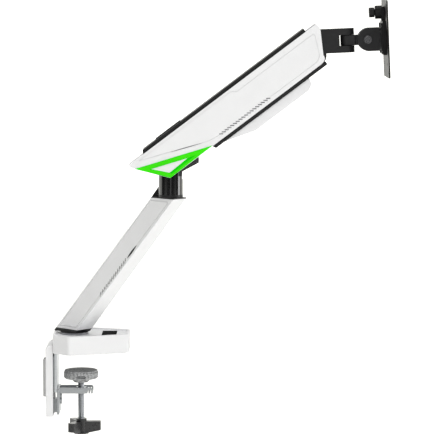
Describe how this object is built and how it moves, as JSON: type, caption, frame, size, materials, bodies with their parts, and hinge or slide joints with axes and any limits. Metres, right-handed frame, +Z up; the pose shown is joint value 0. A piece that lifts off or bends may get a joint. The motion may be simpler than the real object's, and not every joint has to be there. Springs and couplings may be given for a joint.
{
  "type": "monitor arm",
  "caption": "Desk-clamped gas-spring monitor arm with a slanted lower arm, a parallelogram spring arm and a tilting, turning screen plate.",
  "frame": {"origin": "the base swivel axis where it meets the desk surface, at the underside of the base", "axes": "+X from the desk edge onto the desk, +Y sideways, +Z up"},
  "size_m": [0.5322, 0.2746, 0.6869],
  "materials": {
    "white_shell": "satin moulded white",
    "cable_white": "satin moulded pale white",
    "green_trim": "glossy bright green",
    "black_plastic": "matt moulded black",
    "black_cast": "black powder-coated casting",
    "black_steel": "black powder-coated steel",
    "zinc_steel": "bright zinc plate",
    "pin_steel": "turned steel",
    "grey_plastic": "satin moulded grey",
    "rubber": "moulded rubber",
    "grip_grey": "mottled grey rubber",
    "bush_plastic": "self-lubricating plastic"
  },
  "bodies": {
    "clamp_base": {"base_cover": "white_shell", "base_insert": "black_plastic", "desk_pad": "rubber", "clamp_bracket": "zinc_steel", "swivel_housing": "pin_steel", "base_screws": "zinc_steel", "swivel_bush": "bush_plastic", "back_cover": "white_shell", "clamp_spacers": "zinc_steel", "cable_hook": "grey_plastic", "jaw_bracket": "zinc_steel", "jaw_bolts": "zinc_steel", "jaw_nut": "zinc_steel"},
    "clamp_pad": {"pad_cup": "zinc_steel", "pad_rubber": "grip_grey"},
    "clamp_screw": {"clamp_spindle": "zinc_steel", "clamp_knob": "black_plastic"},
    "lower_arm": {"swivel_spindle": "pin_steel", "swivel_nut": "pin_steel", "lower_arm_core": "black_cast", "lower_arm_cover": "white_shell", "lower_panel_near": "white_shell", "lower_panel_far": "white_shell", "lower_cable_cover": "cable_white", "elbow_collar": "black_cast", "elbow_post": "pin_steel", "elbow_retainer": "pin_steel"},
    "elbow": {"elbow_bracket": "black_cast", "elbow_washer": "bush_plastic", "link_pins_elbow": "pin_steel", "strut_pin_elbow": "pin_steel"},
    "link": {"link_bar_near": "pin_steel", "link_bar_far": "pin_steel"},
    "spring_arm": {"arm_channel": "pin_steel", "side_cover_near": "white_shell", "side_cover_far": "white_shell", "side_panel_near": "white_shell", "side_panel_far": "white_shell", "green_trim_near": "green_trim", "green_trim_far": "green_trim", "top_rail": "black_plastic", "tension_cover": "black_plastic", "tension_screw": "pin_steel", "bottom_rail": "black_plastic", "arm_cable_cover": "cable_white", "main_pins": "pin_steel", "strut_cylinder": "pin_steel", "strut_pin_arm": "pin_steel"},
    "strut_rod": {"strut_rod": "pin_steel"},
    "head": {"head_bracket": "black_cast", "link_pins_head": "pin_steel", "pan_pin": "pin_steel", "pan_washers": "bush_plastic"},
    "pan_tongue": {"pan_tongue": "black_cast"},
    "tilt_head": {"tilt_head": "black_cast", "tilt_bolt": "black_steel"},
    "rotor": {"rotation_washer": "bush_plastic", "adapter_plate": "black_steel"},
    "thumbscrew": {"thumbscrew": "black_steel"},
    "vesa_plate": {"vesa_plate": "black_steel"}
  },
  "joints": [
    {"name": "base_swivel", "type": "hinge", "parent": "clamp_base", "child": "lower_arm", "pos_m": [0, 0, 0.03], "axis": [0, 0, 1], "range_deg": [-45, 135]},
    {"name": "elbow_swivel", "type": "hinge", "parent": "lower_arm", "child": "elbow", "pos_m": [0.15556, -0.15556, 0.28], "axis": [0, 0, 1], "range_deg": [-135, 45]},
    {"name": "arm_lift", "type": "hinge", "parent": "elbow", "child": "spring_arm", "pos_m": [0.15456, -0.15556, 0.3355], "axis": [0, -1, 0], "range_deg": [-68, 8]},
    {"name": "link_pivot", "type": "hinge", "parent": "elbow", "child": "link", "pos_m": [0.16226, -0.15556, 0.3105], "axis": [0, -1, 0], "range_deg": [-69, 9]},
    {"name": "head_level", "type": "hinge", "parent": "spring_arm", "child": "head", "pos_m": [0.3678, -0.15556, 0.49618], "axis": [0, -1, 0], "range_deg": [-9, 69]},
    {"name": "strut_slide", "type": "slide", "parent": "spring_arm", "child": "strut_rod", "axis": [0.7986, 0, 0.6018], "range_m": [-0.00201, 0.01559]},
    {"name": "head_pan", "type": "hinge", "parent": "head", "child": "pan_tongue", "pos_m": [0.4187, -0.15556, 0.49378], "axis": [-0.0436, 0, 0.999], "range_deg": [-90, 90]},
    {"name": "head_tilt", "type": "hinge", "parent": "pan_tongue", "child": "tilt_head", "pos_m": [0.45137, -0.15556, 0.49521], "axis": [0, -1, 0], "range_deg": [-45, 45]},
    {"name": "plate_rotate", "type": "hinge", "parent": "tilt_head", "child": "rotor", "pos_m": [0.47305, -0.15556, 0.49616], "axis": [0.999, 0, 0.0436], "range_deg": [-180, 180]},
    {"name": "thumbscrew_turn", "type": "hinge", "parent": "rotor", "child": "thumbscrew", "pos_m": [0.46631, -0.15556, 0.5359], "axis": [0.999, 0, 0.0436], "continuous": true},
    {"name": "plate_release", "type": "slide", "parent": "rotor", "child": "vesa_plate", "axis": [-0.0436, 0, 0.999], "range_m": [0, 0.03]},
    {"name": "clamp_travel", "type": "slide", "parent": "clamp_base", "child": "clamp_pad", "axis": [0, 0, 1], "range_m": [-0.0065, 0.023]},
    {"name": "clamp_turn", "type": "hinge", "parent": "clamp_pad", "child": "clamp_screw", "pos_m": [0.01, 0, -0.1], "axis": [0, 0, 1], "range_deg": [-1180, 4150]}
  ],
  "couplings": [
    {"joint": "link_pivot", "follows": "arm_lift", "ratio": 1},
    {"joint": "head_level", "follows": "arm_lift", "ratio": -1},
    {"joint": "strut_slide", "follows": "arm_lift", "m_per_rad": -0.01297},
    {"joint": "clamp_turn", "follows": "clamp_travel", "rad_per_m": 3141.6}
  ]
}
